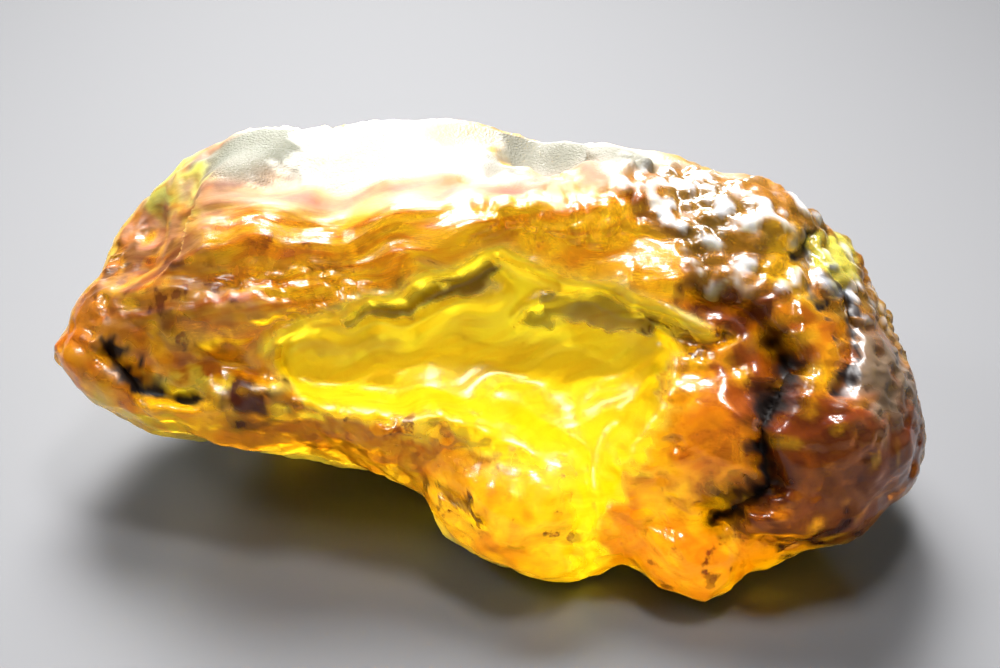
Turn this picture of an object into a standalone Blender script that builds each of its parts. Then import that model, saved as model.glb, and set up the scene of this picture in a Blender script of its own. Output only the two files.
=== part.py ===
"""A rough nodule of amber, one solid piece lying on its side. Metres, +Z up.

The nodule is a loft of rounded sections from its left tip to its right end, cut by
a few broad facets and scooped by old breaks. The front, which faces -Y and up, then
gets its ledges, hollows, lumps and cracks, and all of it a weathered, uneven skin.

Places on the front are given as an eye sees them that looks along +Y and down at
EYE_DROP from EYE_DISTANCE: s runs to the right, t up and w away from the eye.
"""
import bmesh
import bpy
import numpy as np

MM = 0.001

# Driving dimensions
LENGTH = 39.0 * MM
EYE_DROP = np.radians(38.0)
EYE_DISTANCE = 120.6 * MM
EYE_TARGET = np.array([0.15, -1.6, 9.4]) * MM
MIDDLE = np.array([-0.374, 0.31, 0.0]) * MM
SPINE = 13.0 * MM
ROUNDNESS = 2.7
TRIANGLES = 9400
SMOOTH_ANGLE = np.radians(50.0)

RIGHT = np.array([1.0, 0.0, 0.0])
UP = np.array([0.0, np.sin(EYE_DROP), np.cos(EYE_DROP)])
AWAY = np.array([0.0, np.cos(EYE_DROP), -np.sin(EYE_DROP)])


def mm(*values):
    """A row or table of millimetres, in metres."""
    return MM * np.array(values, float)


# Sections of the loft: s, its top and bottom t, its front and back w
SECTIONS = mm(
    (-19.3, -0.4, -1.3, 2.2, 3.6),
    (-18.6, 0.7, -1.7, 1.5, 4.8),
    (-17.2, 2.6, -2.7, 0.7, 6.4),
    (-15.2, 6.4, -3.9, -0.6, 8.6),
    (-12.0, 8.2, -4.9, -1.8, 10.8),
    (-7.5, 9.6, -5.3, -2.4, 12.4),
    (-3.5, 9.6, -7.0, -2.8, 12.8),
    (0.5, 9.3, -9.9, -3.0, 12.8),
    (4.5, 8.4, -10.5, -3.0, 12.4),
    (8.5, 7.2, -10.5, -3.2, 12.0),
    (11.5, 6.2, -10.2, -3.4, 11.2),
    (14.5, 3.4, -8.8, -3.0, 9.8),
    (16.9, 0.5, -7.4, -1.9, 8.0),
    (18.0, -1.4, -6.6, -0.6, 6.2),
    (18.5, -3.0, -5.6, 1.0, 4.4),
)

# Broad facets: a point (x, y, z) on each, its outward direction, how soft its edge is
FACETS = (
    (mm(0.0, 3.8, 15.0), (-0.02, 0.05, 1.0), 0.5 * MM),
    (mm(0.0, 8.3, 12.4), (0.03, 0.9, 0.5), 0.8 * MM),
    (mm(-4.0, 8.9, 6.0), (-0.15, 1.0, -0.12), 0.8 * MM),
    (mm(-15.0, 0.7, 12.9), (-0.64, 0.1, 0.76), 0.8 * MM),
    (mm(10.2, 6.3, 11.8), (0.3, 0.6, 0.7), 0.8 * MM),
    (mm(0.0, -2.6, 0.0), (0.0, 0.0, -1.0), 0.8 * MM),
    (mm(-14.0, 0.6, 1.4), (-0.4, -0.25, -1.0), 0.8 * MM),
    (mm(14.0, 1.6, 0.8), (0.5, 0.2, -0.85), 0.8 * MM),
    (mm(12.0, 7.0, 4.0), (0.55, 0.8, -0.25), 0.8 * MM),
    (mm(17.0, 3.0, 6.0), (0.95, 0.35, 0.1), 0.8 * MM),
)

# Old breaks: a point (x, y, z) and outward direction, how round and how deep each is
SCOOPS = (
    (mm(-9.0, 8.2, 8.0), (-0.25, 0.9, 0.35), 9.0 * MM, 1.4 * MM),
    (mm(6.0, 8.8, 6.0), (0.15, 0.97, -0.1), 8.5 * MM, 1.4 * MM),
    (mm(-1.0, 8.3, 11.2), (0.1, 0.9, 0.45), 6.0 * MM, 0.8 * MM),
    (mm(15.2, 4.9, 8.5), (0.7, 0.6, 0.2), 6.5 * MM, 0.8 * MM),
    (mm(-9.0, 0.9, 1.2), (-0.1, -0.2, -1.0), 7.0 * MM, 0.9 * MM),
    (mm(-15.6, 1.9, 11.0), (-0.6, 0.1, 0.8), 6.0 * MM, 0.5 * MM),
    (mm(-3.0, 7.8, 2.2), (-0.1, 0.85, -0.6), 6.5 * MM, 1.0 * MM),
    (mm(13.0, 0.9, 2.2), (0.5, 0.1, -0.85), 5.5 * MM, 0.7 * MM),
    (mm(2.0, 3.5, 15.0), (0.1, 0.3, 1.0), 9.0 * MM, 0.35 * MM),
)
SCOOP_EDGE = 0.3 * MM
SCOOP_BEND = 0.45 * MM
FACET_BEND = 0.18 * MM
END_EDGE = 1.2 * MM

# Lumps: the centre (s, t, w) and three radii of each, how soft its join is
LUMPS = (
    (mm(8.1, -9.6, 0.2), mm(2.2, 2.1, 2.6), 1.2 * MM),
    (mm(12.9, -4.3, 0.7), mm(5.4, 4.6, 5.3), 1.4 * MM),
    (mm(10.0, 4.5, 2.0), mm(3.6, 2.7, 4.2), 1.2 * MM),
    (mm(14.3, 2.7, 2.6), mm(1.6, 1.5, 2.2), 0.7 * MM),
    (mm(-18.6, -0.8, 2.9), mm(0.95, 0.85, 1.4), 0.7 * MM),
    (mm(1.0, -7.6, 0.2), mm(3.8, 2.7, 3.4), 1.6 * MM),
)


def sight(points):
    """The places s, t and w of world points, in the eye's perspective."""
    gone = points - EYE_TARGET
    w = gone @ AWAY
    near = EYE_DISTANCE / (EYE_DISTANCE + w)
    return (gone @ RIGHT) * near, (gone @ UP) * near, w


def world(s, t, w):
    """The world points at places s, t and w."""
    far = (EYE_DISTANCE + w) / EYE_DISTANCE
    across = np.multiply.outer(s * far, RIGHT) + np.multiply.outer(t * far, UP)
    return EYE_TARGET + across + np.multiply.outer(w, AWAY)


def rise(x):
    """A smooth step from 0 to 1 while x goes from 0 to 1."""
    x = np.clip(x, 0, 1)
    return x * x * (3 - 2 * x)


def blend_max(a, b, soft):
    """The larger of two fields, rounded over a distance where they meet."""
    share = np.clip(0.5 + 0.5 * (a - b) / soft, 0, 1)
    return b + (a - b) * share + soft * share * (1 - share)


def curve(x, knots, values):
    """A smooth curve through the values at the knots, read at x."""
    slope = np.gradient(values, knots)
    i = np.clip(np.searchsorted(knots, x) - 1, 0, len(knots) - 2)
    gap = knots[i + 1] - knots[i]
    f = np.clip((x - knots[i]) / gap, 0, 1)
    ends = values[i] + (values[i + 1] - values[i]) * rise(f)
    leave = gap * slope[i] * f * (1 - f) ** 2
    arrive = gap * slope[i + 1] * f * f * (f - 1)
    return ends + leave + arrive


def loft(s, t, w):
    """Distance outside the loft: each section is a rounded box in t and w."""
    knots = SECTIONS[:, 0]
    top, bottom, front, back = (curve(s, knots, side) for side in SECTIONS[:, 1:].T)
    tall = (top - bottom) / 2
    deep = (back - front) / 2
    off_t = np.abs(t - (top + bottom) / 2) / tall
    off_w = np.abs(w - (front + back) / 2) / deep
    reach = (off_t**ROUNDNESS + off_w**ROUNDNESS) ** (1 / ROUNDNESS)
    past_end = np.maximum(s - knots[-1], knots[0] - s)
    return blend_max((reach - 1) * np.minimum(tall, deep), past_end, END_EDGE)


def ripples(points, wavelength, seed, waves=24):
    """Smooth uneven noise of about 1: plane waves of one length in many directions."""
    chance = np.random.default_rng(seed)
    way = chance.normal(size=(waves, 3))
    way /= np.linalg.norm(way, axis=1, keepdims=True)
    way *= 2 * np.pi / (wavelength * chance.uniform(0.75, 1.35, (waves, 1)))
    phase = chance.uniform(0, 2 * np.pi, waves)
    return np.sin(points @ way.T + phase).sum(-1) / np.sqrt(waves / 2)


def wander(points):
    """An uneven push of about 1 each way, which keeps cuts from coming out straight."""
    broad = np.stack([ripples(points, 9 * MM, seed, 12) for seed in (11, 12, 13)], -1)
    fine = np.stack([ripples(points, 3 * MM, seed, 12) for seed in (14, 15, 16)], -1)
    return broad + fine / 4


def outside(points):
    """Distance outside the nodule without its relief, below 0 inside it."""
    s, t, w = sight(points)
    push = wander(points)
    field = loft(s, t, w)
    for centre, radii, soft in LUMPS:
        place = (np.stack([s, t, w], -1) - centre) / radii
        lump = (np.linalg.norm(place, axis=-1) - 1) * radii.min()
        field = -blend_max(-field, -lump, soft)
    for point, way, soft in FACETS:
        way = np.array(way) / np.linalg.norm(way)
        field = blend_max(field, (points + FACET_BEND * push - point) @ way, soft)
    for point, way, radius, deep in SCOOPS:
        way = np.array(way) / np.linalg.norm(way)
        centre = point + way * (radius - deep)
        scoop = radius - np.linalg.norm(points + SCOOP_BEND * push - centre, axis=-1)
        field = blend_max(field, scoop, SCOOP_EDGE)
    return field


def surface(way):
    """The first points outside along rays that leave the spine in each direction."""
    knots = SECTIONS[:, 0]
    s = SPINE * way[:, 0]
    t = curve(s, knots, SECTIONS[:, 1:3].mean(1))
    w = curve(s, knots, SECTIONS[:, 3:5].mean(1))
    start = world(s, t, w)
    near = np.zeros(len(way))
    far = np.full(len(way), LENGTH / 2)
    for _ in range(24):
        middle = (near + far) / 2
        out = outside(start + way * middle[:, None]) > 0
        far = np.where(out, middle, far)
        near = np.where(out, near, middle)
    return start + way * far[:, None]


def facing(points):
    """The outward direction of the surface at each point."""
    probe = 0.15 * MM * np.eye(3)
    slope = np.stack([outside(points + p) - outside(points - p) for p in probe], -1)
    return slope / np.linalg.norm(slope, axis=-1, keepdims=True)


def distance(s, t, path):
    """Distance from places on the front to a path of straight stretches."""
    best = np.full(np.shape(s), LENGTH)
    for a, b in zip(path[:-1], path[1:]):
        run = b - a
        f = np.clip(((s - a[0]) * run[0] + (t - a[1]) * run[1]) / (run @ run), 0, 1)
        best = np.minimum(best, np.hypot(s - a[0] - f * run[0], t - a[1] - f * run[1]))
    return best


def within(s, t, outline):
    """True for the places inside a closed outline."""
    odd = np.zeros(np.shape(s), bool)
    for a, b in zip(outline, np.roll(outline, -1, 0)):
        if a[1] == b[1]:
            continue
        spans = (a[1] > t) != (b[1] > t)
        odd ^= spans & (s < (b[0] - a[0]) * (t - a[1]) / (b[1] - a[1]) + a[0])
    return odd


# The big shell-shaped break on the front: its arched top edge, right side and rim
ARCH = mm(
    (-10.3, -0.7), (-8.7, 0.3), (-6.5, 1.1), (-4.3, 1.8), (-2.2, 2.9), (-0.9, 3.3),
    (0.2, 3.5), (1.3, 3.2), (3.0, 2.6), (5.2, 1.9), (7.2, 1.1), (8.8, 0.1),
)
BREAK_RIGHT = mm((8.8, 0.1), (8.2, -0.8), (7.8, -2.4), (6.9, -3.7), (5.6, -5.1), (3.9, -7.6))
BREAK_RIM = mm(
    (3.9, -7.6), (2.6, -5.9), (0.2, -4.7), (-1.4, -4.2), (-3.5, -3.7), (-6.4, -3.5),
    (-9.4, -3.2), (-10.2, -2.2), (-10.3, -0.7),
)
BREAK_STEP = mm(
    (-10.1, -1.8), (-7.4, -1.2), (-4.9, -0.9), (-2.0, -0.3), (0.7, 0.6), (4.0, 0.6),
    (6.1, 0.0), (7.8, -1.2),
)

# Ridges and grooves on the front: the path of each, its half width and its height
FOLD_UNDER_ARCH = mm((-9.5, -0.1), (-6.9, 0.1), (-4.3, 0.4), (-2.8, 0.7), (-1.2, 1.4), (0.1, 1.9))
FOLD_TO_ARCH = mm((0.7, 0.8), (1.7, 1.6), (2.8, 2.2))
LIP_OVER_ARCH = mm((-4.3, 2.9), (-2.2, 4.1), (0.0, 5.1), (1.7, 5.5), (3.5, 5.2), (5.6, 4.0), (7.8, 2.6))
UPPER_FOLD = mm((-15.0, 3.6), (-11.0, 3.4), (-7.0, 4.2), (-3.0, 5.6))
NOTCH = mm((5.4, -4.4), (4.5, -6.0), (3.9, -8.0), (3.6, -9.9))
CREVICE_TOP = mm((8.6, 1.8), (9.5, 1.5), (10.4, 1.0), (11.5, 0.2), (12.2, -0.8))
CREVICE = mm((12.2, -0.8), (12.5, -2.0), (11.8, -3.2), (11.2, -4.2), (11.4, -5.4), (11.8, -6.5), (9.6, -7.8))
END_CREASE = mm((14.7, 1.6), (15.0, 0.6), (15.1, -0.7), (15.0, -2.2))
LEFT_CREVICE = mm((-16.8, -0.7), (-15.9, -1.4), (-14.8, -2.4), (-13.0, -2.8))
LOW_CRACK = mm((11.8, -9.4), (13.0, -8.9), (14.1, -8.4), (15.2, -7.9))
SLIT = mm((-2.6, -6.5), (-1.4, -7.3), (-0.7, -8.2))
SIDE_CRACK = mm((6.9, 0.6), (7.3, 0.2), (8.2, -0.3), (9.3, -0.2))
CREASES = (
    (FOLD_UNDER_ARCH, 0.35 * MM, 0.35 * MM),
    (FOLD_TO_ARCH, 0.35 * MM, 0.3 * MM),
    (LIP_OVER_ARCH, 0.8 * MM, 0.45 * MM),
    (UPPER_FOLD, 0.8 * MM, 0.3 * MM),
    (NOTCH, 0.6 * MM, -0.8 * MM),
    (CREVICE_TOP, 0.45 * MM, -0.8 * MM),
    (CREVICE, 0.55 * MM, -1.1 * MM),
    (END_CREASE, 0.4 * MM, -0.7 * MM),
    (LEFT_CREVICE, 0.45 * MM, -0.9 * MM),
    (LOW_CRACK, 0.3 * MM, -0.5 * MM),
    (SLIT, 0.35 * MM, -0.5 * MM),
    (SIDE_CRACK, 0.3 * MM, -0.4 * MM),
)

# Swellings and dents on the front: centre, radii and height of each
SWELLS = (
    (mm(9.4, -4.6), mm(2.1, 2.6), 1.0 * MM),
    (mm(10.6, -2.0), mm(0.8, 1.2), -0.4 * MM),
    (mm(-11.2, 1.2), mm(2.8, 1.0), 0.8 * MM),
    (mm(-12.4, -1.3), mm(2.0, 0.9), -0.9 * MM),
    (mm(-9.8, -2.9), mm(3.6, 0.8), 0.5 * MM),
    (mm(-5.5, -4.3), mm(3.8, 0.6), 0.5 * MM),
    (mm(13.1, 3.6), mm(0.6, 0.6), -0.8 * MM),
    (mm(6.2, 3.6), mm(2.0, 0.8), -0.5 * MM),
    (mm(13.4, 0.0), mm(1.3, 1.9), 0.4 * MM),
)
ARCH_WALL = 1.0 * MM
ARCH_DEPTH = 1.3 * MM
STEP_DEPTH = 0.7 * MM
STEP_REACH = 1.5 * MM
BOWL_DEPTH = 1.4 * MM
BOWL_REACH = 3.5 * MM

# The weathered skin: how high its broad and its small swells stand, and how long they are
BROAD_SWELL = 0.16 * MM
BROAD_LENGTH = 8.0 * MM
SMALL_SWELL = 0.09 * MM
SMALL_LENGTH = 3.6 * MM


def front_break(s, t):
    """Depth of the big break: a steep wall under the arch, a step and a bowl below."""
    edge = np.vstack([BREAK_RIGHT[1:], BREAK_RIM[:-1]])
    from_arch = distance(s, t, ARCH)
    from_rim = np.minimum(distance(s, t, BREAK_RIGHT), distance(s, t, BREAK_RIM))
    below_step = distance(s, t, BREAK_STEP)
    under = t < np.interp(s, BREAK_STEP[:, 0], BREAK_STEP[:, 1])
    wall = ARCH_DEPTH * rise(from_arch / ARCH_WALL) * rise(from_rim / ARCH_WALL)
    step = STEP_DEPTH * np.where(under, rise(below_step / STEP_REACH), 0) * rise(from_rim / STEP_REACH)
    bowl = BOWL_DEPTH * rise(from_arch / BOWL_REACH) * rise(from_rim / BOWL_REACH)
    return np.where(within(s, t, np.vstack([ARCH, edge])), wall + step + bowl, 0)


def relief(s, t):
    """How far the front stands in front of its plain body, at each place."""
    height = -front_break(s, t)
    for path, width, tall in CREASES:
        height = height + tall * np.exp(-((distance(s, t, path) / width) ** 2))
    for centre, radii, tall in SWELLS:
        place = np.hypot((s - centre[0]) / radii[0], (t - centre[1]) / radii[1])
        height = height + tall * np.exp(-(place**2))
    return height


def nodule_points(way):
    """The nodule's surface points, one for each direction from the spine."""
    points = surface(way)
    normal = facing(points)
    s, t, _ = sight(points)
    turned = rise(-(normal @ AWAY) / 0.35)
    eye = EYE_TARGET - EYE_DISTANCE * AWAY
    nearer = (eye - points) / np.linalg.norm(eye - points, axis=1, keepdims=True)
    skin = 1 - 0.6 * turned * np.clip(front_break(s, t) / ARCH_DEPTH, 0, 1)
    swell = BROAD_SWELL * ripples(points, BROAD_LENGTH, 3) + SMALL_SWELL * ripples(points, SMALL_LENGTH, 4)
    points = points + nearer * (relief(s, t) * turned)[:, None]
    return points + normal * (swell * skin)[:, None] - MIDDLE


def amber_nodule(collection):
    """The whole nodule, its underside cut flat where it rests on the ground."""
    ball = bmesh.new()
    bmesh.ops.create_icosphere(ball, subdivisions=7, radius=1)
    points = nodule_points(np.array([vertex.co for vertex in ball.verts], float))
    for vertex, point in zip(ball.verts, points):
        vertex.co = point
    mesh = bpy.data.meshes.new("amber_nodule")
    ball.to_mesh(mesh)
    ball.free()

    nodule = bpy.data.objects.new("amber_nodule", mesh)
    collection.objects.link(nodule)
    worn = nodule.modifiers.new("worn edges", "SMOOTH")
    worn.iterations = 3
    fewer = nodule.modifiers.new("fewer faces", "DECIMATE")
    fewer.ratio = TRIANGLES / len(mesh.polygons)
    evaluated = nodule.evaluated_get(bpy.context.evaluated_depsgraph_get())
    nodule.data = bpy.data.meshes.new_from_object(evaluated)
    nodule.modifiers.clear()
    bpy.data.meshes.remove(mesh)

    solid = bmesh.new()
    solid.from_mesh(nodule.data)
    everything = solid.verts[:] + solid.edges[:] + solid.faces[:]
    cut = bmesh.ops.bisect_plane(solid, geom=everything, plane_co=(0, 0, 0), plane_no=(0, 0, -1), clear_outer=True)
    rim = [piece for piece in cut["geom_cut"] if isinstance(piece, bmesh.types.BMEdge)]
    bmesh.ops.edgeloop_fill(solid, edges=rim)
    bmesh.ops.triangulate(solid, faces=solid.faces[:])
    bmesh.ops.recalc_face_normals(solid, faces=solid.faces[:])
    solid.to_mesh(nodule.data)
    solid.free()
    nodule.data.shade_smooth()
    nodule.data.set_sharp_from_angle(angle=SMOOTH_ANGLE)
    return nodule


def amber():
    """Clear honey-coloured amber under a thin, dull skin."""
    material = bpy.data.materials.new("amber")
    material.use_nodes = True
    shader = material.node_tree.nodes["Principled BSDF"]
    shader.inputs["Base Color"].default_value = (0.9, 0.46, 0.06, 1.0)
    shader.inputs["Roughness"].default_value = 0.3
    shader.inputs["Metallic"].default_value = 0.0
    shader.inputs["IOR"].default_value = 1.54
    return material


for old in list(bpy.data.objects):
    bpy.data.objects.remove(old, do_unlink=True)

rough_amber = bpy.data.collections.new("rough_amber")
bpy.context.scene.collection.children.link(rough_amber)
amber_nodule(rough_amber).data.materials.append(amber())
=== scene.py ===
"""The looks of a rough amber nodule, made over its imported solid. Metres, +Z up."""

import bpy
import numpy as np
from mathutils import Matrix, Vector

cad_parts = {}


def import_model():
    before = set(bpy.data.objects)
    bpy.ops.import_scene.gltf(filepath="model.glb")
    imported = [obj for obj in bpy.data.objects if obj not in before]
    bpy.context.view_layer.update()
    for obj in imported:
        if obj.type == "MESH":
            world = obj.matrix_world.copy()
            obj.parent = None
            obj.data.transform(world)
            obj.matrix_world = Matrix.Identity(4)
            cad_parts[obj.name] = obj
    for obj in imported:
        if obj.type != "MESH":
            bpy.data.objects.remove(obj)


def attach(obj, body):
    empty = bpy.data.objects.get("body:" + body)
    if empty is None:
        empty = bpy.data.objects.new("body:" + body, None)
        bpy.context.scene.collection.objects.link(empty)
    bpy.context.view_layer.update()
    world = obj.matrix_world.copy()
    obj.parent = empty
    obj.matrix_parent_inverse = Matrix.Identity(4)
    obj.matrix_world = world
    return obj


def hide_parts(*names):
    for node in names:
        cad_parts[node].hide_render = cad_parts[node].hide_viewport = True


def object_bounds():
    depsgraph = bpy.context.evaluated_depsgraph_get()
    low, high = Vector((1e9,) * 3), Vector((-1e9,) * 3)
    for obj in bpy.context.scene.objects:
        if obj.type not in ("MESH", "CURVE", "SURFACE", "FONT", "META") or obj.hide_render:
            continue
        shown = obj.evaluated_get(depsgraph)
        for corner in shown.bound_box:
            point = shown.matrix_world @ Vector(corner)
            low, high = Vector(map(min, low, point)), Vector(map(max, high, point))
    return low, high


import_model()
cad_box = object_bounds()

# The nodule's body: one lump of fossil resin, thin at its left tip and blunt at its right
# end, with a few broad flat sides and old shell-shaped breaks. It is a loft of rounded
# sections. s, t and w are places as the front is seen: to the right, up and away.
MM = 0.001
LENGTH = 39.0 * MM
EYE_DROP = np.radians(38.0)
EYE_DISTANCE = 120.6 * MM
EYE_TARGET = np.array([0.15, -1.6, 9.4]) * MM
MIDDLE = np.array([-0.374, 0.31, 0.0]) * MM
ROUNDNESS = 2.7
RIGHT = np.array([1.0, 0.0, 0.0])
UP = np.array([0.0, np.sin(EYE_DROP), np.cos(EYE_DROP)])
AWAY = np.array([0.0, np.cos(EYE_DROP), -np.sin(EYE_DROP)])


def mm(*values):
    """A row or table of millimetres, in metres."""
    return MM * np.array(values, float)


# Sections of the loft: s, its top and bottom t, its front and back w
SECTIONS = mm(
    (-19.3, -0.4, -1.3, 2.2, 3.6),
    (-18.6, 0.7, -1.7, 1.5, 4.8),
    (-17.2, 2.6, -2.7, 0.7, 6.4),
    (-15.2, 6.4, -3.9, -0.6, 8.6),
    (-12.0, 8.2, -4.9, -1.8, 10.8),
    (-7.5, 9.6, -5.3, -2.4, 12.4),
    (-3.5, 9.6, -7.0, -2.8, 12.8),
    (0.5, 9.3, -9.9, -3.0, 12.8),
    (4.5, 8.4, -10.5, -3.0, 12.4),
    (8.5, 7.2, -10.5, -3.2, 12.0),
    (11.5, 6.2, -10.2, -3.4, 11.2),
    (14.5, 3.4, -8.8, -3.0, 9.8),
    (16.9, 0.5, -7.4, -1.9, 8.0),
    (18.0, -1.4, -6.6, -0.6, 6.2),
    (18.5, -3.0, -5.6, 1.0, 4.4),
)

# Broad facets: a point (x, y, z) on each, its outward direction, how soft its edge is
FACETS = (
    (mm(0.0, 3.8, 15.0), (-0.02, 0.05, 1.0), 0.5 * MM),
    (mm(0.0, 8.3, 12.4), (0.03, 0.9, 0.5), 0.8 * MM),
    (mm(-4.0, 8.9, 6.0), (-0.15, 1.0, -0.12), 0.8 * MM),
    (mm(-15.0, 0.7, 12.9), (-0.64, 0.1, 0.76), 0.8 * MM),
    (mm(10.2, 6.3, 11.8), (0.3, 0.6, 0.7), 0.8 * MM),
    (mm(0.0, -2.6, 0.0), (0.0, 0.0, -1.0), 0.8 * MM),
    (mm(-14.0, 0.6, 1.4), (-0.4, -0.25, -1.0), 0.8 * MM),
    (mm(14.0, 1.6, 0.8), (0.5, 0.2, -0.85), 0.8 * MM),
    (mm(12.0, 7.0, 4.0), (0.55, 0.8, -0.25), 0.8 * MM),
    (mm(17.0, 3.0, 6.0), (0.95, 0.35, 0.1), 0.8 * MM),
)

# Old breaks: a point (x, y, z) and outward direction, how round and how deep each is
SCOOPS = (
    (mm(-9.0, 8.2, 8.0), (-0.25, 0.9, 0.35), 9.0 * MM, 1.4 * MM),
    (mm(6.0, 8.8, 6.0), (0.15, 0.97, -0.1), 8.5 * MM, 1.4 * MM),
    (mm(-1.0, 8.3, 11.2), (0.1, 0.9, 0.45), 6.0 * MM, 0.8 * MM),
    (mm(15.2, 4.9, 8.5), (0.7, 0.6, 0.2), 6.5 * MM, 0.8 * MM),
    (mm(-9.0, 0.9, 1.2), (-0.1, -0.2, -1.0), 7.0 * MM, 0.9 * MM),
    (mm(-15.6, 1.9, 11.0), (-0.6, 0.1, 0.8), 6.0 * MM, 0.5 * MM),
    (mm(-3.0, 7.8, 2.2), (-0.1, 0.85, -0.6), 6.5 * MM, 1.0 * MM),
    (mm(13.0, 0.9, 2.2), (0.5, 0.1, -0.85), 5.5 * MM, 0.7 * MM),
    (mm(2.0, 3.5, 15.0), (0.1, 0.3, 1.0), 9.0 * MM, 0.35 * MM),
)
SCOOP_EDGE = 0.3 * MM
END_EDGE = 1.2 * MM

# How far the cuts wander off their plain shapes, and the waves that they follow
SCOOP_BEND = 0.45 * MM
FACET_BEND = 0.18 * MM
BROAD_WANDER = 9.0 * MM
FINE_WANDER = 3.0 * MM
FINE_WANDER_SHARE = 0.25
WANDER_WAVES = 12
WAVES = 24
WAVE_SPREAD = (0.75, 1.35)

# Lumps: the centre (s, t, w) and three radii of each, how soft its join is
LUMPS = (
    (mm(8.1, -9.6, 0.2), mm(2.2, 2.1, 2.6), 1.2 * MM),
    (mm(12.9, -4.3, 0.7), mm(5.4, 4.6, 5.3), 1.4 * MM),
    (mm(10.0, 4.5, 2.0), mm(3.6, 2.7, 4.2), 1.2 * MM),
    (mm(14.3, 2.7, 2.6), mm(1.6, 1.5, 2.2), 0.7 * MM),
    (mm(-18.6, -0.8, 2.9), mm(0.95, 0.85, 1.4), 0.7 * MM),
    (mm(1.0, -7.6, 0.2), mm(3.8, 2.7, 3.4), 1.6 * MM),
)


def sight(points):
    """The places s, t and w of world points, in the eye's perspective."""
    gone = points - EYE_TARGET
    w = gone @ AWAY
    near = EYE_DISTANCE / (EYE_DISTANCE + w)
    return (gone @ RIGHT) * near, (gone @ UP) * near, w


def world(s, t, w):
    """The world points at places s, t and w."""
    far = (EYE_DISTANCE + w) / EYE_DISTANCE
    across = np.multiply.outer(s * far, RIGHT) + np.multiply.outer(t * far, UP)
    return EYE_TARGET + across + np.multiply.outer(w, AWAY)


def rise(x, start=0.0, reach=1.0):
    """A smooth step from 0 to 1: 3f^2 - 2f^3 while x goes the share f of a reach past a start."""
    f = np.clip((x - start) / reach, 0, 1)
    return f * f * (3 - 2 * f)


def blend_max(a, b, soft):
    """The larger of two fields, rounded over a distance where they meet."""
    share = np.clip(0.5 + 0.5 * (a - b) / soft, 0, 1)
    return b + (a - b) * share + soft * share * (1 - share)


def curve(x, knots, values):
    """A smooth cubic curve through the values at the knots, read at x."""
    slope = np.gradient(values, knots)
    i = np.clip(np.searchsorted(knots, x) - 1, 0, len(knots) - 2)
    gap = knots[i + 1] - knots[i]
    f = np.clip((x - knots[i]) / gap, 0, 1)
    ends = values[i] + (values[i + 1] - values[i]) * rise(f)
    leave = gap * slope[i] * f * (1 - f) ** 2
    arrive = gap * slope[i + 1] * f * f * (f - 1)
    return ends + leave + arrive


def loft(s, t, w):
    """Distance outside the loft: each section is a rounded box in t and w."""
    knots = SECTIONS[:, 0]
    top, bottom, front, back = (curve(s, knots, side) for side in SECTIONS[:, 1:].T)
    tall = (top - bottom) / 2
    deep = (back - front) / 2
    off_t = np.abs(t - (top + bottom) / 2) / tall
    off_w = np.abs(w - (front + back) / 2) / deep
    reach = (off_t**ROUNDNESS + off_w**ROUNDNESS) ** (1 / ROUNDNESS)
    past_end = np.maximum(s - knots[-1], knots[0] - s)
    return blend_max((reach - 1) * np.minimum(tall, deep), past_end, END_EDGE)


def ripples(points, wavelength, seed, waves=WAVES):
    """Smooth uneven noise of about 1: plane waves of one length in many directions."""
    chance = np.random.default_rng(seed)
    way = chance.normal(size=(waves, 3))
    way /= np.linalg.norm(way, axis=1, keepdims=True)
    way *= 2 * np.pi / (wavelength * chance.uniform(*WAVE_SPREAD, (waves, 1)))
    phase = chance.uniform(0, 2 * np.pi, waves)
    return np.sin(points @ way.T + phase).sum(-1) / np.sqrt(waves / 2)


def mixed(points, waves):
    """Ripples added up: share times ripples, for each share, length and seed given."""
    return sum(share * ripples(points, length, seed) for share, length, seed in waves)


def wander(points):
    """An uneven push of about 1 each way, which keeps cuts from coming out straight."""
    broad = [ripples(points, BROAD_WANDER, seed, WANDER_WAVES) for seed in (11, 12, 13)]
    fine = [ripples(points, FINE_WANDER, seed, WANDER_WAVES) for seed in (14, 15, 16)]
    return np.stack(broad, -1) + FINE_WANDER_SHARE * np.stack(fine, -1)


def outside(points):
    """Distance outside the nodule without its relief, below 0 inside it."""
    s, t, w = sight(points)
    push = wander(points)
    field = loft(s, t, w)
    for centre, radii, soft in LUMPS:
        place = (np.stack([s, t, w], -1) - centre) / radii
        lump = (np.linalg.norm(place, axis=-1) - 1) * radii.min()
        field = -blend_max(-field, -lump, soft)
    for point, way, soft in FACETS:
        way = np.array(way) / np.linalg.norm(way)
        field = blend_max(field, (points + FACET_BEND * push - point) @ way, soft)
    for point, way, radius, deep in SCOOPS:
        way = np.array(way) / np.linalg.norm(way)
        centre = point + way * (radius - deep)
        scoop = radius - np.linalg.norm(points + SCOOP_BEND * push - centre, axis=-1)
        field = blend_max(field, scoop, SCOOP_EDGE)
    return field


# The grid over the body: rays leave a spine inside the nodule and fan out round its
# ends. v runs from tip to end and u once round, closer together on the front.
ROWS = 300
ROUND = 328
SPINE_LENGTH = LENGTH - 1.0 * MM
SPINE_REACH = 9.0 * MM
FRONT_SHARE = 0.32
HALVINGS = 22
PROBE = 0.15 * MM
NEARLY_ZERO = 1e-12


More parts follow.
